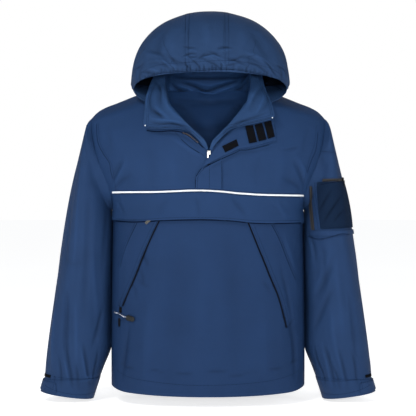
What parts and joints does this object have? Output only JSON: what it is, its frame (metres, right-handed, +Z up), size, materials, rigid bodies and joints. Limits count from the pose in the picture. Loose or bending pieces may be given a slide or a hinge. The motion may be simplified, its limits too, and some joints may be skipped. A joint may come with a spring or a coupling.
{
  "type": "anorak pullover",
  "caption": "Hooded pullover anorak with a half zip standing open, turned-out collar, chest flap pocket, slanting hand pockets and a mesh sleeve pocket.",
  "frame": {"origin": "where the wearer's shoulders hold it, midway between them, 3 cm below the side of the neck", "axes": "+X to the wearer's left, -Y to the front, +Z up"},
  "size_m": [0.8026, 0.296, 0.9221],
  "materials": {
    "shell": "woven nylon shell, soft sheen",
    "mesh": "knitted mesh",
    "reflective": "retroreflective piping tape",
    "hook_loop": "hook and loop tape",
    "zip_tape": "woven zip tape with coil",
    "zip_metal": "plated zinc",
    "zip_black": "black lacquered slider",
    "cord": "flecked braided cord",
    "grip": "moulded rubbery grip"
  },
  "bodies": {
    "root": {"back": "shell", "chest_flap": "shell", "chest_zip": "zip_tape", "chest_zip_pull": "zip_metal", "collar": "shell", "cuff_hook_left": "hook_loop", "cuff_hook_right": "hook_loop", "cuff_left": "shell", "cuff_right": "shell", "cuff_tab_left": "shell", "cuff_tab_right": "shell", "front_yoke_left": "shell", "front_yoke_right": "shell", "front_zip": "zip_tape", "front_zip_slider": "zip_metal", "hand_slider": "zip_black", "hand_slider_tail": "zip_black", "hand_welt_left": "shell", "hand_welt_right": "shell", "hand_zip_left": "zip_tape", "hand_zip_right": "zip_tape", "hood_gusset": "shell", "hood_left_panel": "shell", "hood_right_panel": "shell", "loop_patch_1": "hook_loop", "loop_patch_2": "hook_loop", "loop_patch_3": "hook_loop", "loop_patch_low": "hook_loop", "lower_front": "shell", "piping": "reflective", "pull_cord": "cord", "pull_grip": "grip", "sleeve_left": "shell", "sleeve_pocket_band": "shell", "sleeve_pocket_mesh": "mesh", "sleeve_pocket_side_zip": "zip_tape", "sleeve_pocket_top_zip": "zip_tape", "sleeve_right": "shell", "sleeve_zip_slider": "zip_black", "storm_flap": "shell", "storm_flap_turned": "shell"},
    "zip_tab": {"front_zip_pull": "zip_metal"},
    "sleeve_tab": {"sleeve_zip_pull": "zip_black"}
  },
  "joints": [
    {"name": "zip_tab_hinge", "type": "hinge", "parent": "root", "child": "zip_tab", "pos_m": [-0.0004, -0.14222, -0.1317], "axis": [1, 0, 0], "range_deg": [-140, 0]},
    {"name": "sleeve_tab_hinge", "type": "hinge", "parent": "root", "child": "sleeve_tab", "pos_m": [0.32285, -0.03975, -0.19437], "axis": [0.3103, 0.9506, 0], "range_deg": [-140, 0]}
  ]
}
